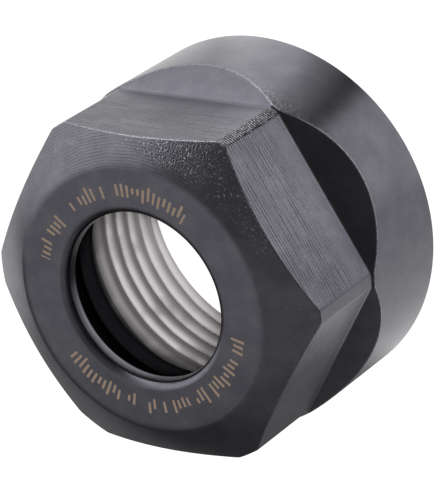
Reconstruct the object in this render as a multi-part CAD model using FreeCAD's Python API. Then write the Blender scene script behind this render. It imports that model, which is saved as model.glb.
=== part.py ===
"""Hexagon collet nut for a small spindle, in millimetres.

One turned steel piece. It stands on its rear face at z = 0 with the turned axis along +Z,
so the bevelled front face, where the cutting tool comes out, is on top. The rear half is a
plain round collar. The front half is turned a little smaller and has six milled flats for a
spanner, which run out in sloping shoulders and leave narrow round lands at the corners.
Inside, from the rear: countersink, spindle thread, thread undercut, off-centre ridge that
pulls the collet out, groove for the collet's rim, 30 degree collet seat, throat and
rounded lip. The thread is the plain bore at its crests.
"""

import FreeCAD
import Part
import math
import os

from FreeCAD import Vector

# outside
collar_diameter = 19.3
land_diameter = 19.0
overall_length = 12.6
rear_rim_chamfer = 0.1

# front face and the bevel from it out to the corners of the hexagon
face_diameter = 14.0
bevel_angle = 30.0

# hexagon, which is milled a little off the turned axis, so that its lands differ in width
flat_count = 6
across_flats = 17.0
first_flat_angle = 30.0
hexagon_offset = 0.18
hexagon_offset_direction = 224.0
flat_length = 6.3
shoulder_slope = 37.5
shoulder_fillet = 0.35

# spindle thread, cut from the rear face
thread_size = 15.0
thread_pitch = 1.0
thread_depth_share = 0.54127
thread_length = 6.6
countersink_margin = 0.2
undercut_margin = 0.08

# collet seat, cut from the front face
opening_diameter = 9.0
lip_radius = 0.5
throat_length = 0.45
seat_half_angle = 30.0
collet_rim_diameter = 11.5

# groove and off-centre ridge that catch the collet's rim
rim_groove_width = 0.36
ridge_width = 0.4
ridge_clearance = 0.05
ridge_offset = 0.45
ridge_direction = 215.0
groove_clearance = 0.05

# how far a cutting body reaches past the metal that it removes
cut_overrun = 1.0


def tangent(degrees):
    return math.tan(math.radians(degrees))


collar_radius = collar_diameter / 2
land_radius = land_diameter / 2
face_radius = face_diameter / 2
flat_distance = across_flats / 2
bevel_foot_z = overall_length - (land_radius - face_radius) * tangent(bevel_angle)
shoulder_z = overall_length - flat_length
collar_top_z = shoulder_z - (collar_radius - land_radius) / tangent(shoulder_slope)

thread_radius = thread_size / 2
thread_crest_radius = thread_radius - thread_depth_share * thread_pitch
countersink_radius = thread_radius + countersink_margin
undercut_radius = thread_radius + undercut_margin
thread_lead = undercut_radius - thread_crest_radius

throat_radius = opening_diameter / 2
seat_radius = collet_rim_diameter / 2
throat_top_z = overall_length - lip_radius
seat_top_z = throat_top_z - throat_length
seat_foot_z = seat_top_z - (seat_radius - throat_radius) / tangent(seat_half_angle)
ridge_top_z = seat_foot_z - rim_groove_width
ridge_foot_z = ridge_top_z - ridge_width
ridge_bore_radius = seat_radius + ridge_clearance
groove_radius = ridge_bore_radius + ridge_offset + groove_clearance


def at(radius, z):
    """A point of the turned profile."""
    return Vector(radius, 0, z)


def aside(distance, direction):
    """A shift at right angles to the turned axis."""
    turn = math.radians(direction)
    return Vector(math.cos(turn), math.sin(turn), 0) * distance


def wire_through(points):
    """Straight edges from point to point, closed at the end."""
    closed = points + [points[0]]
    return [Part.LineSegment(a, b).toShape() for a, b in zip(closed, closed[1:])]


def turned(edges):
    """A full turn of a closed profile about the axis."""
    profile = Part.Face(Part.Wire(edges))
    return profile.revolve(Vector(0, 0, 0), Vector(0, 0, 1), 360)


def outer_blank():
    """The stepped bar with its bevelled front and chamfered rear rim, before any bore."""
    return turned(
        wire_through(
            [
                at(0, 0),
                at(collar_radius - rear_rim_chamfer, 0),
                at(collar_radius, rear_rim_chamfer),
                at(collar_radius, collar_top_z),
                at(land_radius, shoulder_z),
                at(land_radius, bevel_foot_z),
                at(face_radius, overall_length),
                at(0, overall_length),
            ]
        )
    )


def rear_cavity():
    """What the countersink, the thread bore and the undercut remove."""
    return turned(
        wire_through(
            [
                at(0, -cut_overrun),
                at(countersink_radius + cut_overrun, -cut_overrun),
                at(thread_crest_radius, countersink_radius - thread_crest_radius),
                at(thread_crest_radius, thread_length - thread_lead),
                at(undercut_radius, thread_length),
                at(undercut_radius, ridge_foot_z),
                at(0, ridge_foot_z),
            ]
        )
    )


def front_cavity():
    """What the rounded lip, the throat, the seat and the rim groove remove."""
    lip_start = at(throat_radius + lip_radius, overall_length)
    lip_end = at(throat_radius, throat_top_z)
    lip_centre = at(throat_radius + lip_radius, throat_top_z)
    lip_middle = lip_centre + Vector(-1, 0, 1) * (lip_radius / math.sqrt(2))
    straight = [
        lip_end,
        at(throat_radius, seat_top_z),
        at(seat_radius, seat_foot_z),
        at(groove_radius, seat_foot_z),
        at(groove_radius, ridge_top_z),
        at(0, ridge_top_z),
        at(0, overall_length + cut_overrun),
        at(throat_radius + lip_radius, overall_length + cut_overrun),
        lip_start,
    ]
    edges = [Part.LineSegment(a, b).toShape() for a, b in zip(straight, straight[1:])]
    edges.append(Part.Arc(lip_start, lip_middle, lip_end).toShape())
    return turned(edges)


def ridge_bore():
    """The off-centre bore through the ridge. The ridge stands out most on its near side."""
    foot = aside(ridge_offset, ridge_direction + 180) + Vector(0, 0, ridge_foot_z)
    return Part.makeCylinder(ridge_bore_radius, ridge_width, foot, Vector(0, 0, 1))


def flat_cut(angle):
    """What the milling cutter removes for one flat and its sloping shoulder."""
    reach = collar_radius - flat_distance + cut_overrun
    corner = Vector(flat_distance, 0, shoulder_z)
    slope_end = corner + Vector(reach, 0, -reach / tangent(shoulder_slope))
    flat_top = Vector(flat_distance, 0, overall_length + cut_overrun)
    outer_top = Vector(flat_distance + reach, 0, overall_length + cut_overrun)
    outline = Part.Wire(wire_through([corner, slope_end, outer_top, flat_top]))
    width = 2 * collar_radius
    tool = Part.Face(outline).extrude(Vector(0, width, 0))
    tool.translate(Vector(0, -width / 2, 0))
    root = [
        edge
        for edge in tool.Edges
        if all((v.Point - corner).cross(Vector(0, 1, 0)).Length < 1e-6 for v in edge.Vertexes)
    ]
    tool = tool.makeFillet(shoulder_fillet, root)
    tool.rotate(Vector(0, 0, 0), Vector(0, 0, 1), angle)
    tool.translate(aside(hexagon_offset, hexagon_offset_direction))
    return tool


def collet_nut():
    flats = [flat_cut(first_flat_angle + turn * 360 / flat_count) for turn in range(flat_count)]
    nut = outer_blank().cut(rear_cavity()).cut(front_cavity()).cut(ridge_bore())
    for flat in flats:
        nut = nut.cut(flat)
    return nut.removeSplitter()


def main():
    os.makedirs("parts", exist_ok=True)
    nut = collet_nut()
    solid = nut.Solids[0]
    print("solids", len(nut.Solids), "valid", nut.isValid(), "faces", len(nut.Faces))
    print("volume", round(nut.Volume, 2), "box", nut.BoundBox)
    solid.exportStep("parts/collet_nut.step")


main()
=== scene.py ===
import bpy
import math
from mathutils import Matrix, Vector


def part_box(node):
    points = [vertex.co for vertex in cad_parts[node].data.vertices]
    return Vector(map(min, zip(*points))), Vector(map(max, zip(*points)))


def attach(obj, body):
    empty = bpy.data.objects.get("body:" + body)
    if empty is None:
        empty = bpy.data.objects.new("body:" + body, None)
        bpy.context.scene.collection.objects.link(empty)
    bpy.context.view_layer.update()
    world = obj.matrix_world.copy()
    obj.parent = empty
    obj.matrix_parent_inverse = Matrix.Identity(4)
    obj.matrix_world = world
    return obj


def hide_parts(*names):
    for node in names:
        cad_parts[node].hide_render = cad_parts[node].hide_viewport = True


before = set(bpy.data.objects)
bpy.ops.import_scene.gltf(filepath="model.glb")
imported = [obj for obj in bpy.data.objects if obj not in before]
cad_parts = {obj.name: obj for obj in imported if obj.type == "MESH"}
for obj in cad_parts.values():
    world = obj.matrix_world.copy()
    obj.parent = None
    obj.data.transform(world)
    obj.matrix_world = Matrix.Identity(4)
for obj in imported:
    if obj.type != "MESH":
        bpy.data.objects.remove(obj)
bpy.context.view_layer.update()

nutLow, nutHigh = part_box("collet_nut")
mm = 0.001


# small helpers

def toLinear(hexColour):
    # an sRGB hex colour as linear red, green, blue and alpha
    channels = [int(hexColour[i:i + 2], 16) / 255 for i in (1, 3, 5)]
    linear = [c / 12.92 if c <= 0.04045 else ((c + 0.055) / 1.055) ** 2.4 for c in channels]
    return (*linear, 1.0)


def addNode(tree, kind, inputs=None, **settings):
    # adds one node: its settings, then each input's value or the socket that feeds it
    made = tree.nodes.new(kind)
    for name, value in settings.items():
        setattr(made, name, value)
    for key, value in (inputs or {}).items():
        if isinstance(value, bpy.types.NodeSocket):
            tree.links.new(value, made.inputs[key])
        else:
            made.inputs[key].default_value = value
    return made


def newMaterial(name):
    material = bpy.data.materials.new(name)
    material.use_nodes = True
    material.node_tree.nodes.clear()
    return material, material.node_tree


# the nut's sizes in millimetres; the collar and the length come from the frame

nut = {
    "collarRadius": (nutHigh[0] - nutLow[0]) / 2 / mm,
    "length": nutHigh[2] / mm,
    "rearChamfer": 0.1,
    "landRadius": 9.5,
    "faceRadius": 7.0,
    "bevelAngle": 30.0,
    "flatCount": 6,
    "acrossFlats": 17.0,
    "firstFlat": 30.0,
    "hexagonOffset": 0.18,
    "hexagonDirection": 224.0,
    "flatLength": 6.3,
    "shoulderSlope": 37.5,
    "shoulderFillet": 0.35,
    "landEdge": 0.05,           # how far the flats' long edges are broken
    "edgeBreak": 0.07,
    "faceBreak": 0.3,           # the front face runs softly into its bevel
    "innerBreak": 0.04,
    "mouthRadius": 4.5,
    "lipRadius": 0.5,
    "throatLength": 0.45,
    "seatAngle": 30.0,
    "seatRadius": 5.75,
    "rimGrooveWidth": 0.36,
    "ridgeWidth": 0.4,
    "ridgeClearance": 0.05,
    "ridgeOffset": 0.45,
    "ridgeDirection": 35.0,     # to which side the bore through the ridge is shifted
    "grooveClearance": 0.05,
    "undercutRadius": 7.58,
    "threadLength": 6.6,
    "countersinkRadius": 7.7,
    "cornerShare": 0.45,        # the most of a wall that the rounding of one end may take
    "columnStep": 1.0,          # degrees between the mesh columns
    "edgeColumns": (-0.9, -0.45, -0.2, 0.0, 0.2, 0.45, 0.9),    # more of them, at a land's edge
    "columnRoom": 0.3,          # degrees that an even column keeps from those
    "leastColumn": 0.08,
    "threadRowStep": 0.052,
    "uprightTilt": 0.01,        # how far a wall may lean and still get a cylinder's normals
    "wallTolerance": 0.005,
}

thread = {
    "size": 15.0,
    "pitch": 1.0,
    "depthShare": 0.54127,      # depth of a 60 degree internal thread, in pitches
    "rootShare": 0.125,
    "flankAngle": 60.0,
}


def tangent(degrees):
    return math.tan(math.radians(degrees))


def smoothLess(a, b, width):
    # the smaller of two sizes, rounded where they meet
    overlap = max(width - abs(a - b), 0) / width
    return min(a, b) - overlap * overlap * width / 4


flatAngles = [nut["firstFlat"] + i * 360 / nut["flatCount"] for i in range(nut["flatCount"])]
threadCrest = thread["size"] / 2 - thread["depthShare"] * thread["pitch"]
ridgeRadius = nut["seatRadius"] + nut["ridgeClearance"]


def flatDistance(flatAngle):
    aside = math.radians(flatAngle - nut["hexagonDirection"])
    return nut["acrossFlats"] / 2 + nut["hexagonOffset"] * math.cos(aside)


def nearestFlat(turn):
    # where a ray at this angle meets the hexagon: how far out, how far out that flat is at its
    # middle, and the ray's angle off its normal
    found = []
    for flatAngle in flatAngles:
        off = (turn - flatAngle + 180) % 360 - 180
        if abs(off) < 360 / nut["flatCount"]:
            found.append((flatDistance(flatAngle) / math.cos(math.radians(off)), flatAngle, off))
    reach, flatAngle, off = min(found)
    return reach, flatDistance(flatAngle), off


def columnAngles():
    # even steps all round, with a few more on each side of every land's edge
    room = nut["columnRoom"]
    edges = []
    for flatAngle in flatAngles:
        halfFlat = math.degrees(math.acos(flatDistance(flatAngle) / nut["landRadius"]))
        edges += [flatAngle - halfFlat, flatAngle + halfFlat]
    extra = [edge + step for edge in edges for step in nut["edgeColumns"]]
    even = [i * nut["columnStep"] for i in range(round(360 / nut["columnStep"]))]
    apart = [a for a in even if all(abs((a - b + 180) % 360 - 180) > room for b in extra)]
    turns = sorted(a % 360 for a in apart + extra)
    following = turns[1:] + [turns[0] + 360]
    return [a for a, b in zip(turns, following) if b - a > nut["leastColumn"]]


def sectionAt(turn):
    # the nut's cut face at one angle: corners as radius, height, how far the corner is rounded,
    # the number of steps that round it, and the finish of the wall up to the next corner
    collar = nut["collarRadius"]
    length = nut["length"]
    reach, distance, off = nearestFlat(turn)
    wall = smoothLess(reach, nut["landRadius"], nut["landEdge"])
    shoulderTop = length - nut["flatLength"]
    rise = max(collar * math.cos(math.radians(off)) - distance, collar - nut["landRadius"])
    shoulderDrop = rise / tangent(nut["shoulderSlope"])
    bevelFoot = length - (wall - nut["faceRadius"]) * tangent(nut["bevelAngle"])
    mouth = nut["mouthRadius"]
    seatTop = length - nut["lipRadius"] - nut["throatLength"]
    seatFoot = seatTop - (nut["seatRadius"] - mouth) / tangent(nut["seatAngle"])
    ridgeTop = seatFoot - nut["rimGrooveWidth"]
    ridgeFoot = ridgeTop - nut["ridgeWidth"]
    lean = math.radians(turn - nut["ridgeDirection"])
    across = nut["ridgeOffset"] * math.sin(lean)
    ridge = nut["ridgeOffset"] * math.cos(lean) + math.sqrt(ridgeRadius ** 2 - across ** 2)
    groove = ridgeRadius + nut["ridgeOffset"] + nut["grooveClearance"]
    undercut = nut["undercutRadius"]
    lead = undercut - threadCrest
    countersink = nut["countersinkRadius"]
    broken = nut["edgeBreak"]
    inner = nut["innerBreak"]
    return [
        (countersink, 0, inner, 1, "coat"),
        (collar - nut["rearChamfer"], 0, inner, 2, "coat"),
        (collar, nut["rearChamfer"], inner, 2, "coat"),
        (collar, shoulderTop - shoulderDrop, broken, 2, "coat"),
        (wall, shoulderTop, nut["shoulderFillet"] * tangent(nut["shoulderSlope"] / 2), 4, "coat"),
        (wall, bevelFoot, broken, 3, "coat"),
        (nut["faceRadius"], length, nut["faceBreak"], 4, "coat"),
        (mouth, length, nut["lipRadius"], 8, "coat"),
        (mouth, seatTop, broken, 2, "inside"),
        (nut["seatRadius"], seatFoot, inner, 1, "inside"),
        (groove, seatFoot, inner, 1, "inside"),
        (groove, ridgeTop, inner, 1, "inside"),
        (ridge, ridgeTop, inner, 2, "inside"),
        (ridge, ridgeFoot, inner, 2, "inside"),
        (undercut, ridgeFoot, inner, 1, "inside"),
        (undercut, nut["threadLength"], inner, 1, "bare"),
        (threadCrest, nut["threadLength"] - lead, inner, 1, "bare"),
        (threadCrest, countersink - threadCrest, inner, 1, "bare"),
    ]


def roundedSection(corners):
    # each corner becomes an arc, and long walls in the thread are divided into even rows
    points = []
    finishes = []
    share = nut["cornerShare"]
    firstThreadWall = len(corners) - len(threadRows)
    following = corners[1:] + corners[:1]
    for i, (radius, height, size, steps, finish) in enumerate(corners):
        here = Vector((radius, height))
        nextCorner = Vector(following[i][:2])
        before = Vector(corners[i - 1][:2]) - here
        after = nextCorner - here
        a = here + before.normalized() * min(size, before.length * share)
        b = here + after.normalized() * min(size, after.length * share)
        weight = math.sin(before.angle(after) / 2)
        for step in range(steps + 1):
            s = step / steps
            pulls = [(1 - s) ** 2, 2 * s * (1 - s) * weight, s * s]
            points.append((a * pulls[0] + here * pulls[1] + b * pulls[2]) / sum(pulls))
            finishes.append(finish)
        if i >= firstThreadWall:
            end = nextCorner - after.normalized() * min(following[i][2], after.length * share)
            rows = threadRows[i - firstThreadWall]
            for row in range(1, rows):
                points.append(b.lerp(end, row / rows))
                finishes.append(finish)
    return points, finishes


def wallRows():
    # how many rows each wall of the thread takes: the bare ones, which come last in the section
    corners = sectionAt(nut["firstFlat"])
    ends = [corner for corner in corners if corner[4] == "bare"] + corners[:1]
    return [max(1, round(abs(a[1] - b[1]) / nut["threadRowStep"])) for a, b in zip(ends, ends[1:])]


threadRows = wallRows()


def makeNutMesh():
    # one closed skin: a ring of section points at each column, joined all round both ways
    turns = columnAngles()
    vertices = []
    for turn in turns:
        points, finishes = roundedSection(sectionAt(turn))
        angle = math.radians(turn)
        for radius, height in points:
            vertices.append((radius * math.cos(angle) * mm, radius * math.sin(angle) * mm, height * mm))
    rows = len(finishes)
    columns = len(turns)
    faces = []
    found = {"bare": [], "inside": []}
    for column in range(columns):
        this = column * rows
        beside = (column + 1) % columns * rows
        for row in range(rows):
            above = (row + 1) % rows
            faces.append((this + row, beside + row, beside + above, this + above))
            for name, kept in found.items():
                kept.append(finishes[row] == name)
    mesh = bpy.data.meshes.new("nutBody")
    mesh.from_pydata(vertices, [], faces)
    for name, kept in found.items():
        mesh.attributes.new(name, "BOOLEAN", "FACE").data.foreach_set("value", kept)
    mesh.polygons.foreach_set("use_smooth", [True] * len(faces))
    mesh.update()
    print("nut mesh:", columns, "columns,", rows, "rows,", 2 * columns * rows, "triangles")
    return mesh


def threadTree():
    # moves the bore's skin outwards by the thread's groove, which follows a right-hand helix, and gives the
    # cut walls their own finish and the seat its near-black material of painted shade
    tree = bpy.data.node_groups.new("cutThread", "GeometryNodeTree")
    sockets = tree.interface
    sockets.new_socket("Geometry", in_out="INPUT", socket_type="NodeSocketGeometry")
    for name in ("Pitch", "Crest radius", "Depth", "Root width", "Flank slope", "Front end"):
        sockets.new_socket(name, in_out="INPUT", socket_type="NodeSocketFloat")
    for name in ("Thread finish", "Seat finish"):
        sockets.new_socket(name, in_out="INPUT", socket_type="NodeSocketMaterial")
    sockets.new_socket("Geometry", in_out="OUTPUT", socket_type="NodeSocketGeometry")
    source = addNode(tree, "NodeGroupInput").outputs
    place = addNode(tree, "GeometryNodeInputPosition").outputs[0]
    parts = addNode(tree, "ShaderNodeSeparateXYZ", {0: place}).outputs
    flat = addNode(tree, "ShaderNodeVectorMath", {0: place, 1: (1, 1, 0)}, operation="MULTIPLY").outputs[0]
    radius = addNode(tree, "ShaderNodeVectorMath", {0: flat}, operation="LENGTH").outputs["Value"]
    angle = addNode(tree, "ShaderNodeMath", {0: parts["Y"], 1: parts["X"]}, operation="ARCTAN2").outputs[0]
    turns = addNode(tree, "ShaderNodeMath", {0: angle, 1: 2 * math.pi}, operation="DIVIDE").outputs[0]
    pitches = addNode(tree, "ShaderNodeMath", {
        0: parts["Z"], 1: source["Pitch"],
    }, operation="DIVIDE").outputs[0]
    along = addNode(tree, "ShaderNodeMath", {0: pitches, 1: turns}, operation="SUBTRACT").outputs[0]
    phase = addNode(tree, "ShaderNodeMath", {0: along}, operation="FRACT").outputs[0]
    centred = addNode(tree, "ShaderNodeMath", {0: phase, 1: 0.5}, operation="SUBTRACT").outputs[0]
    share = addNode(tree, "ShaderNodeMath", {0: centred}, operation="ABSOLUTE").outputs[0]
    off = addNode(tree, "ShaderNodeMath", {0: share, 1: source["Pitch"]}, operation="MULTIPLY").outputs[0]
    past = addNode(tree, "ShaderNodeMath", {
        0: off, 1: source["Root width"],
    }, operation="SUBTRACT").outputs[0]
    fall = addNode(tree, "ShaderNodeMath", {
        0: past, 1: source["Flank slope"],
    }, operation="MULTIPLY").outputs[0]
    left = addNode(tree, "ShaderNodeMath", {0: source["Depth"], 1: fall}, operation="SUBTRACT").outputs[0]
    most = addNode(tree, "ShaderNodeMath", {0: left, 1: source["Depth"]}, operation="MINIMUM").outputs[0]
    cut = addNode(tree, "ShaderNodeMath", {0: source["Crest radius"], 1: most}, operation="ADD").outputs[0]
    wall = addNode(tree, "ShaderNodeMath", {0: radius, 1: cut}, operation="MAXIMUM").outputs[0]
    grow = addNode(tree, "ShaderNodeMath", {0: wall, 1: radius}, operation="DIVIDE").outputs[0]
    moved = addNode(tree, "ShaderNodeVectorMath", {0: flat, "Scale": grow}, operation="SCALE").outputs[0]
    level = addNode(tree, "ShaderNodeCombineXYZ", {"Z": parts["Z"]}).outputs[0]
    target = addNode(tree, "ShaderNodeVectorMath", {0: moved, 1: level}, operation="ADD").outputs[0]
    inThread = addNode(tree, "FunctionNodeCompare", {
        0: parts["Z"], 1: source["Front end"],
    }, operation="LESS_THAN")
    placed = addNode(tree, "GeometryNodeSetPosition", {
        "Geometry": source["Geometry"],
        "Selection": inThread.outputs[0],
        "Position": target,
    })
    plain = addNode(tree, "GeometryNodeRealizeInstances", {0: placed.outputs[0]})
    coated = plain.outputs[0]
    for name, finish in (("bare", "Thread finish"), ("inside", "Seat finish")):
        named = addNode(tree, "GeometryNodeInputNamedAttribute", {"Name": name}, data_type="BOOLEAN")
        isNamed = [socket for socket in named.outputs if socket.enabled and socket.name == "Attribute"]
        coated = addNode(tree, "GeometryNodeSetMaterial", {
            "Geometry": coated, "Selection": isNamed[0], "Material": source[finish],
        }).outputs[0]
    addNode(tree, "NodeGroupOutput", {0: coated})
    return tree


def setInputs(modifier, values):
    # a modifier's inputs are set by the identifier of the socket that has this name
    for item in modifier.node_group.interface.items_tree:
        if item.item_type == "SOCKET" and item.in_out == "INPUT" and item.name in values:
            modifier[item.identifier] = values[item.name]


def asPlainMesh(piece):
    # the evaluated mesh takes the place of the modifiers
    graph = bpy.context.evaluated_depsgraph_get()
    mesh = bpy.data.meshes.new_from_object(piece.evaluated_get(graph))
    piece.modifiers.clear()
    piece.data = mesh


def trueCollar(mesh):
    # the columns differ in width, so the collar and the lands get the exact normals of a cylinder
    normals = [corner.vector.copy() for corner in mesh.corner_normals]
    wallRadius = (nut["landRadius"] - nut["wallTolerance"]) * mm
    for face in mesh.polygons:
        if abs(face.normal.z) > nut["uprightTilt"] or face.center.xy.length < wallRadius:
            continue
        for corner in face.loop_indices:
            place = mesh.vertices[mesh.loops[corner].vertex_index].co
            normals[corner] = Vector((place.x, place.y, 0)).normalized()
    mesh.normals_split_custom_set(normals)


# black oxide on turned and milled steel: a thin conversion coat, dark grey with a violet cast,
# that keeps the tool marks and the sheen of the metal under it; it is darker in the tool marks
# and rubbed lighter along the edges

blackOxide = {
    "colour": "#64636b",
    "mottle": "#717077",        # where the coat took a little lighter
    "groove": "#2b2b30",
    "worn": "#928f96",
    # painted glints: bright points on the torn bevel and land and on the milled flats
    "glint": "#b4b3b9",
    "throat": "#85838b",        # painted highlight: the throat is lighter on one side
    "throatMetal": 0.3,
    "roughness": 0.28,
    "flatRoughness": 0.36,

    # sides of the nut in degrees round the axis, with the reach in which a mark is full and fades
    "tornSide": (56.0, (16.0, 40.0)),       # the bevel and land that the tool tore a little
    "linedSide": (104.0, (26.0, 64.0)),     # where the bevel's feed lines stand out most
    "shadedRingSide": (-80.0, (20.0, 90.0)),      # painted shade: the front ring is darker on this side
    # painted highlight: the side on which the throat is lighter
    "throatHighlightSide": (-128.0, (20.0, 62.0)),
    "elsewhere": 0.12,                      # how much of the torn and lined marks is left there

    # tool marks, in mm
    "turningSpacing": 0.14,     # between the lathe's feed lines on the bevel
    "turningSway": 1.3,         # how far a line strays, in line spacings
    "turningDepth": 0.008,
    "facingDepth": 0.0010,
    "millingSpacing": 0.2,      # between the milling lines on the flats
    "millingSway": 1.1,
    "millingDepth": 0.0075,
    "feedSpacing": 0.17,        # between the lathe's feed lines on the lands
    "feedSway": 0.35,
    "feedDepth": 0.02,
    "chatterDepth": 0.022,
    "bandSize": 0.4,            # of the lathe's faint bands round the collar
    "bandDetail": 3.0,
    "bandRoughness": 0.7,
    "bandDepth": 0.0012,
    "grainDepth": 0.0016,

    # noise: its size in mm across the axis and along it, its detail and its roughness
    "noises": {
        "wander": (0.9, 0.9, 4.0, 0.5),
        "sway": (7.0, 0.5, 1.0, 0.5),
        "breaks": (2.5, 0.2, 4.0, 0.6),
        "chatter": (0.085, 0.085, 0.0, 0.5),
        "dots": (0.12, 0.12, 2.0, 0.5),
        "grain": (0.06, 0.06, 0.0, 0.5),
        "mottle": (1.6, 1.6, 6.0, 0.7),
    },

    # where a mark starts and where it is full, in its noise or across its stripe
    "mottled": (0.35, 0.7),
    "broken": (0.36, 0.6),
    "millingGroove": (0.3, 0.44),
    "turningGroove": (0.24, 0.46),
    "turningBreaks": (0.3, 0.5),
    "feedGroove": (0.2, 0.4),
    "feedCrest": (0.2, 0.05),
    "chatterPit": (0.5, 0.36),
    "chatterPeak": (0.42, 0.56),
    "grainPit": (0.5, 0.25),
    "grainPeak": (0.76, 0.82),
    "dotPeak": (0.62, 0.68),
    "wear": (0.3, 0.6),

    # how much of its colour a mark takes
    "collarShade": 0.38,
    # painted shade: the sloping shoulders are darker all round
    "shoulderPaintedShade": 0.3,
    "ringShade": 0.3,
    "turningShade": 0.4,
    "pitShade": 0.6,
    "grainShade": 0.3,
    # painted glints on the lands' feed crests and on the flats' grain
    "crestShine": 0.8,
    "grainShine": 0.4,

    # bounds of the finishes, in mm
    "landGap": (0.05, 0.03),    # inside the lands, where a wall starts to count as round
    "polishedTop": 1.4,         # above the shoulders, up to where the flats are smoother
    "polishedFade": 0.6,
    "tornHeights": (-2.2, 0.6), # from the shoulders' top
    "specksFrom": (0.1, 0.9),   # outside the front ring
    "rimFade": (0.07, 0.02),    # outside the bevel
    "burrFade": (0.09, 0.05),   # inside the collar
    "throatSkin": (0.05, 0.01),
    "throatDepths": (0.35, 0.85),
}

# how far up each kind of wall faces, as the upward part of its normal: where it starts to count
# as that kind and where it fully does

facing = {
    "ring": (0.96, 0.99),
    "belowRing": (0.99, 0.96),
    "bevel": (0.7, 0.8),
    "belowBevel": (0.75, 0.65),
    "bevelEdge": (0.84, 0.7),
    "shoulder": (0.45, 0.55),
    "shoulderEdge": (0.58, 0.48),
    "leaning": (0.12, 0.2),
    "upright": (0.3, 0.1),
    "rear": (-0.9, -0.98),
}

# laser marking on the front ring: plain strokes of uneven length in two arcs, tan where the beam
# burnt the coat

marking = {
    "colour": "#b39d8b",
    "innerRadius": 5.25,
    "outerRadius": 6.25,
    "stagger": 0.4,             # how far a stroke may stop short, in mm
    "pitch": 0.31,              # mm along the arc from stroke to stroke
    "strokeWidth": 0.14,
    "missing": 0.24,            # the share of strokes left out, as gaps between groups
    "arcs": ((111.0, 54.0), (-77.0, 64.0)),     # the middle and half of each arc, in degrees
    "arcFade": 0.5,
    "faceUp": 0.99,
}


def product(tree, *factors):
    # all factors multiplied; one that is written as a value, a start and an end stands for a fade
    # from 0 to 1 as the value goes from the start to the end
    result = None
    for factor in factors:
        if isinstance(factor, tuple):
            value, start, end = factor
            factor = addNode(tree, "ShaderNodeMapRange", {
                "Value": value, "From Min": start, "From Max": end,
            }, interpolation_type="SMOOTHSTEP").outputs[0]
        if result is None:
            result = factor
            continue
        result = addNode(tree, "ShaderNodeMath", {0: result, 1: factor}, operation="MULTIPLY").outputs[0]
    return result


def layered(tree, base, layers):
    # colours laid over the base in turn, each with the share that it covers
    colour = toLinear(base)
    for share, over in layers:
        colour = addNode(tree, "ShaderNodeMix", {
            0: share, 6: colour, 7: toLinear(over),
        }, data_type="RGBA").outputs[2]
    return colour


def towards(azimuth, elevation=0.0):
    a = math.radians(azimuth)
    e = math.radians(elevation)
    return Vector((math.cos(e) * math.cos(a), math.cos(e) * math.sin(a), math.sin(e)))


def nearSide(tree, direction, middle, width, level=1.0):
    # this level within width[0] degrees of the middle, fading out at width[1]
    along = addNode(tree, "ShaderNodeVectorMath", {
        0: direction, 1: middle,
    }, operation="DOT_PRODUCT").outputs["Value"]
    near, far = [math.cos(math.radians(side)) for side in width]
    return addNode(tree, "ShaderNodeMapRange", {
        "Value": along, "From Min": far, "From Max": near, "To Max": level,
    }, interpolation_type="SMOOTHSTEP").outputs[0]


def stripes(tree, along, spacing, sway, amount):
    # 1/2 in the middle of each groove and 0 on the crest between two, at this spacing in mm
    even = addNode(tree, "ShaderNodeMath", {0: along, 1: 1 / spacing}, operation="MULTIPLY").outputs[0]
    moved = addNode(tree, "ShaderNodeMath", {
        0: sway, 1: amount, 2: even,
    }, operation="MULTIPLY_ADD").outputs[0]
    return addNode(tree, "ShaderNodeMath", {0: moved, 1: 0.5}, operation="PINGPONG").outputs[0]


def placeOnNut(tree):
    # in mm from the nut's origin: the place, its height and its distance from the turned axis;
    # then how far up the surface faces, and the level direction out from the axis
    coords = addNode(tree, "ShaderNodeTexCoord").outputs
    place = addNode(tree, "ShaderNodeVectorMath", {
        0: coords["Object"], "Scale": 1 / mm,
    }, operation="SCALE").outputs[0]
    height = addNode(tree, "ShaderNodeSeparateXYZ", {0: place}).outputs["Z"]
    level = addNode(tree, "ShaderNodeVectorMath", {0: place, 1: (1, 1, 0)}, operation="MULTIPLY").outputs[0]
    radius = addNode(tree, "ShaderNodeVectorMath", {0: level}, operation="LENGTH").outputs["Value"]
    up = addNode(tree, "ShaderNodeSeparateXYZ", {0: coords["Normal"]}).outputs["Z"]
    outwards = addNode(tree, "ShaderNodeVectorMath", {0: level}, operation="NORMALIZE").outputs[0]
    return place, height, radius, up, outwards


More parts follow.
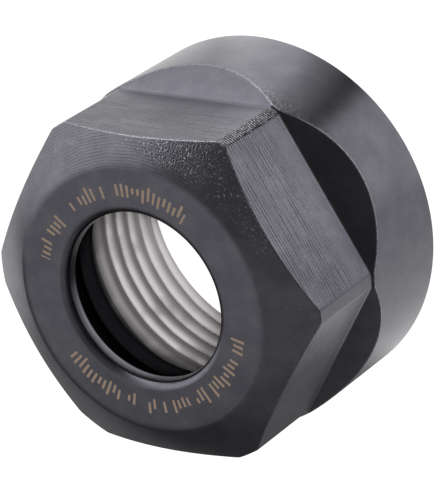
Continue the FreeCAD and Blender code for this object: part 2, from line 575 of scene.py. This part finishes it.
def laserStrokes(tree, radius, up, outwards):
    # 1 on a laser stroke, 0 elsewhere; each stroke is a cell along the arc with its own length
    parts = addNode(tree, "ShaderNodeSeparateXYZ", {0: outwards}).outputs
    angle = addNode(tree, "ShaderNodeMath", {0: parts["Y"], 1: parts["X"]}, operation="ARCTAN2").outputs[0]
    middleRadius = (marking["innerRadius"] + marking["outerRadius"]) / 2
    cells = addNode(tree, "ShaderNodeMath", {
        0: angle, 1: middleRadius / marking["pitch"],
    }, operation="MULTIPLY").outputs[0]
    cell = addNode(tree, "ShaderNodeMath", {0: cells}, operation="FLOOR").outputs[0]
    random = addNode(tree, "ShaderNodeTexWhiteNoise", {"W": cell}, noise_dimensions="1D").outputs
    chance = addNode(tree, "ShaderNodeSeparateColor", {0: random["Color"]}).outputs
    phase = addNode(tree, "ShaderNodeMath", {0: cells}, operation="FRACT").outputs[0]
    centred = addNode(tree, "ShaderNodeMath", {0: phase, 1: 0.5}, operation="SUBTRACT").outputs[0]
    aside = addNode(tree, "ShaderNodeMath", {0: centred}, operation="ABSOLUTE").outputs[0]
    halfWidth = marking["strokeWidth"] / marking["pitch"] / 2
    top = addNode(tree, "ShaderNodeMapRange", {
        "Value": chance["Red"],
        "To Min": marking["outerRadius"] - marking["stagger"],
        "To Max": marking["outerRadius"],
    }).outputs[0]
    foot = addNode(tree, "ShaderNodeMapRange", {
        "Value": chance["Green"],
        "To Min": marking["innerRadius"],
        "To Max": marking["innerRadius"] + marking["stagger"],
    }).outputs[0]
    arcs = [
        nearSide(tree, outwards, towards(middle), (half, half + marking["arcFade"]))
        for middle, half in marking["arcs"]
    ]
    inArc = addNode(tree, "ShaderNodeMath", {0: arcs[0], 1: arcs[1]}, operation="MAXIMUM").outputs[0]
    tests = (
        (aside, halfWidth, "LESS_THAN"),
        (radius, top, "LESS_THAN"),
        (radius, foot, "GREATER_THAN"),
        (chance["Blue"], marking["missing"], "GREATER_THAN"),
        (up, marking["faceUp"], "GREATER_THAN"),
    )
    passed = [
        addNode(tree, "ShaderNodeMath", {0: value, 1: bound}, operation=test).outputs[0]
        for value, bound, test in tests
    ]
    return product(tree, inArc, *passed)


def makeBlackOxide():
    material, tree = newMaterial("blackOxideSteel")
    place, height, radius, up, outwards = placeOnNut(tree)
    shoulderTop = nut["length"] - nut["flatLength"]
    polished = shoulderTop + blackOxide["polishedTop"]
    polishedFade = blackOxide["polishedFade"]
    roundFrom, roundFull = [nut["landRadius"] - gap for gap in blackOxide["landGap"]]
    tornFrom, tornFull = [shoulderTop + above for above in blackOxide["tornHeights"]]
    specksFrom, specksFull = [nut["faceRadius"] + outside for outside in blackOxide["specksFrom"]]
    bevelTop = nut["length"] + nut["faceRadius"] * tangent(nut["bevelAngle"])
    rimFrom, rimFull = [bevelTop - inside for inside in blackOxide["rimFade"]]
    burrFrom, burrFull = [nut["collarRadius"] - inside for inside in blackOxide["burrFade"]]
    skinFrom, skinFull = [nut["mouthRadius"] + gap for gap in blackOxide["throatSkin"]]
    throatFrom, throatFull = [nut["length"] - depth for depth in blackOxide["throatDepths"]]

    # where each kind of wall lies
    tilt = addNode(tree, "ShaderNodeMath", {0: up}, operation="ABSOLUTE").outputs[0]
    ring = product(tree, (up, *facing["ring"]))
    bevel = product(tree, (up, *facing["bevel"]), (up, *facing["belowRing"]))
    shoulder = product(tree, (up, *facing["shoulder"]), (up, *facing["belowBevel"]))
    rear = product(tree, (up, *facing["rear"]))
    side = product(tree, (tilt, *facing["upright"]))
    turned = product(tree, side, (radius, roundFrom, roundFull))
    flat = product(tree, side, (radius, roundFull, roundFrom))
    milled = product(tree, flat, (height, polished - polishedFade, polished + polishedFade))
    land = product(tree, turned, (height, tornFrom, tornFull))
    outer = product(tree, bevel, (radius, specksFrom, specksFull))
    slope = addNode(tree, "ShaderNodeMath", {
        0: radius, 1: tangent(nut["bevelAngle"]), 2: height,
    }, operation="MULTIPLY_ADD").outputs[0]
    rim = product(tree, (slope, rimFrom, rimFull), (up, *facing["bevelEdge"]))
    burr = product(
        tree, (radius, burrFrom, burrFull), (up, *facing["leaning"]), (up, *facing["shoulderEdge"]),
    )

    # on which side of the nut a mark is strong
    sides = {}
    for name in ("tornSide", "linedSide", "shadedRingSide", "throatHighlightSide"):
        azimuth, reach = blackOxide[name]
        sides[name] = nearSide(tree, outwards, towards(azimuth), reach)
    torn, lined = [
        addNode(tree, "ShaderNodeMapRange", {
            "Value": sides[name], "To Min": blackOxide["elsewhere"],
        }).outputs[0]
        for name in ("tornSide", "linedSide")
    ]
    # painted highlight: a lighter, less metallic crescent on one side of the throat
    throat = product(
        tree, side, sides["throatHighlightSide"], (radius, skinFrom, skinFull), (height, throatFrom, throatFull),
    )

    noises = {}
    for name, (across, along, detail, roughness) in blackOxide["noises"].items():
        scaled = addNode(tree, "ShaderNodeVectorMath", {
            0: place, 1: (1 / across, 1 / across, 1 / along),
        }, operation="MULTIPLY").outputs[0]
        noises[name] = addNode(tree, "ShaderNodeTexNoise", {
            "Vector": scaled, "Scale": 1.0, "Detail": detail, "Roughness": roughness,
        }).outputs[0]
    bands = addNode(tree, "ShaderNodeTexNoise", {
        "W": height,
        "Scale": 1 / blackOxide["bandSize"],
        "Detail": blackOxide["bandDetail"],
        "Roughness": blackOxide["bandRoughness"],
    }, noise_dimensions="1D").outputs[0]
    wander = noises["wander"]
    chatter = noises["chatter"]
    grain = noises["grain"]

    # the tool marks
    turning = stripes(tree, radius, blackOxide["turningSpacing"], wander, blackOxide["turningSway"])
    milling = stripes(tree, height, blackOxide["millingSpacing"], noises["sway"], blackOxide["millingSway"])
    feed = stripes(tree, height, blackOxide["feedSpacing"], chatter, blackOxide["feedSway"])
    broken = product(tree, (noises["breaks"], *blackOxide["broken"]))
    marks = (
        product(tree, turning, bevel, lined, -blackOxide["turningDepth"]),
        product(tree, turning, ring, blackOxide["facingDepth"]),
        product(tree, turning, rear, blackOxide["turningDepth"]),
        product(tree, milling, milled, broken, -blackOxide["millingDepth"]),
        product(tree, feed, land, torn, -blackOxide["feedDepth"]),
        product(tree, chatter, outer, torn, blackOxide["chatterDepth"]),
        product(tree, chatter, land, torn, blackOxide["chatterDepth"]),
        product(tree, bands, turned, blackOxide["bandDepth"]),
        product(tree, grain, blackOxide["grainDepth"]),
    )
    depth = marks[0]
    for mark in marks[1:]:
        depth = addNode(tree, "ShaderNodeMath", {0: depth, 1: mark}, operation="ADD").outputs[0]
    bump = addNode(tree, "ShaderNodeBump", {"Strength": 1.0, "Distance": mm, "Height": depth}).outputs[0]

    # colour: mottled coat, dark grooves, painted shade on the shoulders and on one side of the front ring,
    # painted glints, worn edges, a painted highlight in the throat, laser strokes
    grooves = (
        product(tree, turned, blackOxide["collarShade"]),
        product(tree, (milling, *blackOxide["millingGroove"]), milled, broken),
        product(
            tree, (turning, *blackOxide["turningGroove"]), (wander, *blackOxide["turningBreaks"]),
            bevel, lined, blackOxide["turningShade"],
        ),
        # painted shade on one side of the front ring
        product(tree, ring, sides["shadedRingSide"], blackOxide["ringShade"]),
        # painted shade on the sloping shoulders
        product(tree, shoulder, blackOxide["shoulderPaintedShade"]),
        product(tree, (feed, *blackOxide["feedGroove"]), land, torn),
        product(tree, (chatter, *blackOxide["chatterPit"]), land, torn, blackOxide["pitShade"]),
        product(tree, (grain, *blackOxide["grainPit"]), flat, blackOxide["grainShade"]),
    )
    # painted glints: bright points where the bumps peak
    glints = (
        product(tree, (noises["dots"], *blackOxide["dotPeak"]), outer, torn),
        product(
            tree, (feed, *blackOxide["feedCrest"]), (chatter, *blackOxide["chatterPeak"]),
            land, torn, blackOxide["crestShine"],
        ),
        product(tree, (grain, *blackOxide["grainPeak"]), milled, blackOxide["grainShine"]),
    )
    wornEdges = [product(tree, edge, (grain, *blackOxide["wear"])) for edge in (rim, burr)]
    layers = [(product(tree, (noises["mottle"], *blackOxide["mottled"])), blackOxide["mottle"])]
    layers += [(groove, blackOxide["groove"]) for groove in grooves]
    layers += [(glint, blackOxide["glint"]) for glint in glints]
    layers += [(edge, blackOxide["worn"]) for edge in wornEdges]
    layers.append((throat, blackOxide["throat"]))
    layers.append((laserStrokes(tree, radius, up, outwards), marking["colour"]))

    rough = addNode(tree, "ShaderNodeMapRange", {
        "Value": flat, "To Min": blackOxide["roughness"], "To Max": blackOxide["flatRoughness"],
    }).outputs[0]
    metal = addNode(tree, "ShaderNodeMapRange", {
        "Value": throat, "To Min": 1.0, "To Max": blackOxide["throatMetal"],
    }).outputs[0]
    surface = addNode(tree, "ShaderNodeBsdfPrincipled", {
        "Base Color": layered(tree, blackOxide["colour"], layers),
        "Metallic": metal,
        "Roughness": rough,
        "Normal": bump,
    })
    addNode(tree, "ShaderNodeOutputMaterial", {"Surface": surface.outputs[0]})
    return material


# black oxide in the seat, the groove and the undercut: a bored surface, painted near black and without
# sheen as painted shade for the shadow deep in the bore

seatBlack = {
    "colour": "#111113",
    "bloom": "#1a1a1d",
    "bloomSize": 0.8,           # mm
    "bloomDetail": 4.0,
    "roughness": 0.8,
}


def makeSeatBlack():
    material, tree = newMaterial("shadedSeatBlack")
    place = placeOnNut(tree)[0]
    bloom = addNode(tree, "ShaderNodeTexNoise", {
        "Vector": place, "Scale": 1 / seatBlack["bloomSize"], "Detail": seatBlack["bloomDetail"],
    }).outputs[0]
    surface = addNode(tree, "ShaderNodeBsdfPrincipled", {
        "Base Color": layered(tree, seatBlack["colour"], [(bloom, seatBlack["bloom"])]),
        "Roughness": seatBlack["roughness"],
        "Specular IOR Level": 0.0,
    })
    addNode(tree, "ShaderNodeOutputMaterial", {"Surface": surface.outputs[0]})
    return material


# bare turned steel in the thread, cut after blackening: pale, a little warm, and so finely ridged by the
# tool that it scatters light almost as evenly as paint; its crests, its front turn and random soft patches
# are darkened with painted shade

bareSteel = {
    "colour": "#e2dddd",
    # painted shade in random soft patches over the thread
    "patchShade": "#a9a4a7",
    "patchShadeSize": 2.4,           # mm
    "patchShadeDetail": 2.0,
    "patchShaded": (0.45, 0.7),
    # painted shade on the thread's crests and the flanks next to them
    "crestShade": "#7d7779",
    "crestWidth": (-0.03, 0.3), # mm of depth over which the painted shade of a crest fades onto its flanks
    "crestFade": (0.0, 4.5),    # the height over which the painted shade on the crests grows towards the front
    "crestLeast": 0.5,
    # painted shade at the thread's front end, next to the undercut
    "shadedFrontTurn": "#353233",
    "firstTurnDepth": 1.5,      # mm of the thread's front end darkened with painted shade
    "firstTurnFade": (0.0, 0.4),
    "roughness": 0.5,
    "metallic": 0.25,
    "toolSpacing": 0.07,        # mm
    "toolDetail": 2.0,
    "toolDepth": 0.0012,
}


def makeBareSteel():
    material, tree = newMaterial("bareTurnedSteel")
    place, height, radius = placeOnNut(tree)[:3]
    crestEnd, crestStart = [threadCrest + depth for depth in bareSteel["crestWidth"]]
    crestShadeToFront = addNode(tree, "ShaderNodeMapRange", {
        "Value": product(tree, (height, *bareSteel["crestFade"])), "To Min": bareSteel["crestLeast"],
    }).outputs[0]
    patchShade = addNode(tree, "ShaderNodeTexNoise", {
        "Vector": place, "Scale": 1 / bareSteel["patchShadeSize"], "Detail": bareSteel["patchShadeDetail"],
    }).outputs[0]
    lines = addNode(tree, "ShaderNodeTexNoise", {
        "W": radius, "Scale": 1 / bareSteel["toolSpacing"], "Detail": bareSteel["toolDetail"],
    }, noise_dimensions="1D").outputs[0]
    shadedFrontTurn = nut["threadLength"] - bareSteel["firstTurnDepth"]
    # painted shade: random patches, the crests and the front turn are darkened
    layers = (
        (product(tree, (patchShade, *bareSteel["patchShaded"])), bareSteel["patchShade"]),
        (product(tree, (radius, crestStart, crestEnd), crestShadeToFront), bareSteel["crestShade"]),
        (
            product(tree, (height, shadedFrontTurn, nut["threadLength"]), (patchShade, *bareSteel["firstTurnFade"])),
            bareSteel["shadedFrontTurn"],
        ),
    )
    bump = addNode(tree, "ShaderNodeBump", {
        "Strength": 1.0, "Distance": mm, "Height": product(tree, lines, bareSteel["toolDepth"]),
    }).outputs[0]
    surface = addNode(tree, "ShaderNodeBsdfPrincipled", {
        "Base Color": layered(tree, bareSteel["colour"], layers),
        "Metallic": bareSteel["metallic"],
        "Roughness": bareSteel["roughness"],
        "Normal": bump,
    })
    addNode(tree, "ShaderNodeOutputMaterial", {"Surface": surface.outputs[0]})
    return material


def makeNut():
    piece = bpy.data.objects.new("colletNut", makeNutMesh())
    bpy.context.scene.collection.objects.link(piece)
    piece.data.materials.append(makeBlackOxide())
    cutter = piece.modifiers.new("cutThread", "NODES")
    cutter.node_group = threadTree()
    pitch = thread["pitch"] * mm
    setInputs(cutter, {
        "Pitch": pitch,
        "Crest radius": threadCrest * mm,
        "Depth": thread["depthShare"] * pitch,
        "Root width": thread["rootShare"] * pitch / 2,
        "Flank slope": tangent(thread["flankAngle"]),
        "Front end": (nut["threadLength"] + nut["innerBreak"]) * mm,
        "Thread finish": makeBareSteel(),
        "Seat finish": makeSeatBlack(),
    })
    piece.modifiers.new("cleanFlats", "WEIGHTED_NORMAL")
    asPlainMesh(piece)
    trueCollar(piece.data)
    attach(piece, "root")
    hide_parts("collet_nut")


# the photographer's view: angles of the direction from the nut to the camera

view = {
    "azimuth": 35.3742,
    "elevation": 50.1468,
    "roll": 124.129,
    "distance": 163.9,
    "nutRight": -0.4688,        # where the nut's middle lies from the picture's centre, in mm
    "nutDown": 0.3152,
    "focalPixels": 3221.0,
    "frameHeight": 495,
    "sensor": 36.0,
}


def makeCamera():
    azimuth = math.radians(view["azimuth"])
    elevation = math.radians(view["elevation"])
    back = Vector((
        math.cos(elevation) * math.cos(azimuth),
        math.cos(elevation) * math.sin(azimuth),
        math.sin(elevation),
    ))
    level = Vector((0, 0, 1)).cross(back).normalized()
    upright = back.cross(level)
    roll = math.radians(view["roll"])
    up = upright * math.cos(roll) + level * math.sin(roll)
    right = up.cross(back)
    middle = Vector((0, 0, nut["length"] / 2))
    place = middle + back * view["distance"] - right * view["nutRight"] + up * view["nutDown"]
    data = bpy.data.cameras.new("camera")
    data.sensor_width = view["sensor"]
    data.lens = view["focalPixels"] * view["sensor"] / view["frameHeight"]
    data.clip_start = 10 * mm
    camera = bpy.data.objects.new("camera", data)
    turned = Matrix((right, up, back)).transposed().to_4x4()
    camera.matrix_world = Matrix.Translation(place * mm) @ turned
    bpy.context.scene.collection.objects.link(camera)
    bpy.context.scene.camera = camera


# white paper under the nut, two bright soft boxes low down, two faint ones higher up, a soft lamp
# on the photographer's side and a dim room

studio = {
    "floorSize": 600.0,         # mm
    "floorGap": 0.02,           # mm of air between the nut's rear face and the paper
    "paper": "#707070",
    "glow": 0.95,
    "litRadius": (18.0, 40.0),  # mm: where the lit paper starts and ends fading in front
    "frontAzimuth": -20.0,
    "frontFade": (-0.35, 0.25),
    "frontLevel": 0.04,
    "patches": (                # painted light and shade on the paper, seen only in reflections: its direction, reach and level
        {"azimuth": 80.0, "width": (6.0, 26.0), "level": 0.72},
        {"azimuth": 61.0, "width": (3.0, 15.0), "level": -0.88},
        {"azimuth": 33.0, "width": (4.0, 20.0), "level": 0.46},
        {"azimuth": -134.0, "width": (8.0, 28.0), "level": -0.85},
        {"azimuth": -84.0, "width": (20.0, 42.0), "level": -0.88},
    ),
    "roomLevel": 0.08,
    "topLevel": 0.13,
    "topHeight": (0.3, 0.85),
    "softBoxes": (
        {"azimuth": 149.0, "elevation": 15.0, "level": 1.38, "width": (20.0, 50.0)},
        {"azimuth": 112.0, "elevation": 4.0, "level": 1.9, "width": (6.0, 28.0)},
        {"azimuth": -60.0, "elevation": 45.0, "level": 0.14, "width": (20.0, 48.0)},
        {"azimuth": -152.0, "elevation": 50.0, "level": 0.37, "width": (12.0, 42.0)},
    ),
    "lampAzimuth": 35.0,
    "lampElevation": 52.0,
    "lampStrength": 3.1,
    "lampSoftness": 14.0,
}


# white matt paper, lit and glowing for the camera so that it is plain white with the nut's shadow on it;
# what the nut mirrors of it glows unevenly, with patches of painted light and shade and a dark zone in
# front

def makeWhitePaper():
    material, tree = newMaterial("whitePaper")
    rays = addNode(tree, "ShaderNodeLightPath").outputs
    mirrored = addNode(tree, "ShaderNodeMath", {
        0: rays["Is Glossy Ray"], 1: rays["Is Transmission Ray"],
    }, operation="MAXIMUM").outputs[0]
    coords = addNode(tree, "ShaderNodeTexCoord").outputs
    place = addNode(tree, "ShaderNodeVectorMath", {
        0: coords["Object"], "Scale": 1 / mm,
    }, operation="SCALE").outputs[0]
    reach = addNode(tree, "ShaderNodeVectorMath", {0: place}, operation="LENGTH").outputs["Value"]
    direction = addNode(tree, "ShaderNodeVectorMath", {0: place}, operation="NORMALIZE").outputs[0]
    inFront = addNode(tree, "ShaderNodeVectorMath", {
        0: direction, 1: towards(studio["frontAzimuth"]),
    }, operation="DOT_PRODUCT").outputs["Value"]
    dim = product(tree, (reach, *studio["litRadius"]), (inFront, *studio["frontFade"]))
    lit = addNode(tree, "ShaderNodeMapRange", {
        "Value": dim, "To Min": studio["glow"], "To Max": studio["frontLevel"],
    }).outputs[0]
    for patch in studio["patches"]:
        more = nearSide(tree, direction, towards(patch["azimuth"]), patch["width"], patch["level"])
        lit = addNode(tree, "ShaderNodeMath", {0: lit, 1: more}, operation="ADD").outputs[0]
    lit = addNode(tree, "ShaderNodeMath", {
        0: lit, 1: studio["frontLevel"],
    }, operation="MAXIMUM").outputs[0]
    level = addNode(tree, "ShaderNodeMath", {
        0: rays["Is Camera Ray"], 1: studio["glow"], 2: product(tree, lit, mirrored),
    }, operation="MULTIPLY_ADD").outputs[0]
    paper = addNode(tree, "ShaderNodeBsdfDiffuse", {"Color": toLinear(studio["paper"])})
    glow = addNode(tree, "ShaderNodeEmission", {"Strength": level})
    both = addNode(tree, "ShaderNodeAddShader", {0: paper.outputs[0], 1: glow.outputs[0]})
    # nothing of the paper is seen from below, so that the rear face and the thread stay in view
    under = addNode(tree, "ShaderNodeNewGeometry").outputs["Backfacing"]
    clear = addNode(tree, "ShaderNodeBsdfTransparent")
    oneSided = addNode(tree, "ShaderNodeMixShader", {0: under, 1: both.outputs[0], 2: clear.outputs[0]})
    addNode(tree, "ShaderNodeOutputMaterial", {"Surface": oneSided.outputs[0]})
    material.cycles.emission_sampling = "NONE"
    return material


def makeFloor():
    half = studio["floorSize"] / 2 * mm
    low = -studio["floorGap"] * mm
    corners = [(-half, -half, low), (half, -half, low), (half, half, low), (-half, half, low)]
    mesh = bpy.data.meshes.new("floor")
    mesh.from_pydata(corners, [], [(0, 1, 2, 3)])
    mesh.materials.append(makeWhitePaper())
    floor = bpy.data.objects.new("floor", mesh)
    bpy.context.scene.collection.objects.link(floor)


def makeWorld():
    world = bpy.data.worlds.new("studio")
    bpy.context.scene.world = world
    world.use_nodes = True
    world.cycles.sampling_method = "NONE"
    tree = world.node_tree
    tree.nodes.clear()
    direction = addNode(tree, "ShaderNodeTexCoord").outputs["Generated"]
    height = addNode(tree, "ShaderNodeSeparateXYZ", {0: direction}).outputs["Z"]
    low, high = studio["topHeight"]
    level = addNode(tree, "ShaderNodeMapRange", {
        "Value": height,
        "From Min": low,
        "From Max": high,
        "To Min": studio["roomLevel"],
        "To Max": studio["roomLevel"] + studio["topLevel"],
    }, interpolation_type="SMOOTHSTEP").outputs[0]
    for box in studio["softBoxes"]:
        middle = towards(box["azimuth"], box["elevation"])
        light = nearSide(tree, direction, middle, box["width"], box["level"])
        level = addNode(tree, "ShaderNodeMath", {0: level, 1: light}, operation="ADD").outputs[0]
    rays = addNode(tree, "ShaderNodeLightPath").outputs
    shown = addNode(tree, "ShaderNodeMix", {0: rays["Is Camera Ray"], 2: level, 3: 1.0}).outputs[0]
    sky = addNode(tree, "ShaderNodeBackground", {"Color": (1, 1, 1, 1), "Strength": shown})
    addNode(tree, "ShaderNodeOutputWorld", {"Surface": sky.outputs[0]})


def makeLamp():
    # lights the paper and the inside of the nut evenly; the coat's sheen doesn't mirror it
    data = bpy.data.lights.new("frontLamp", "SUN")
    data.energy = studio["lampStrength"]
    data.angle = math.radians(studio["lampSoftness"])
    lamp = bpy.data.objects.new("frontLamp", data)
    lamp.visible_glossy = False
    back = towards(studio["lampAzimuth"], studio["lampElevation"])
    lamp.matrix_world = back.to_track_quat("Z", "Y").to_matrix().to_4x4()
    bpy.context.scene.collection.objects.link(lamp)


def makeStudio():
    makeCamera()
    makeFloor()
    makeWorld()
    makeLamp()
    bpy.context.scene.view_settings.view_transform = "Standard"
    print("camera, floor and studio light made")


makeStudio()
makeNut()
print("nut made")
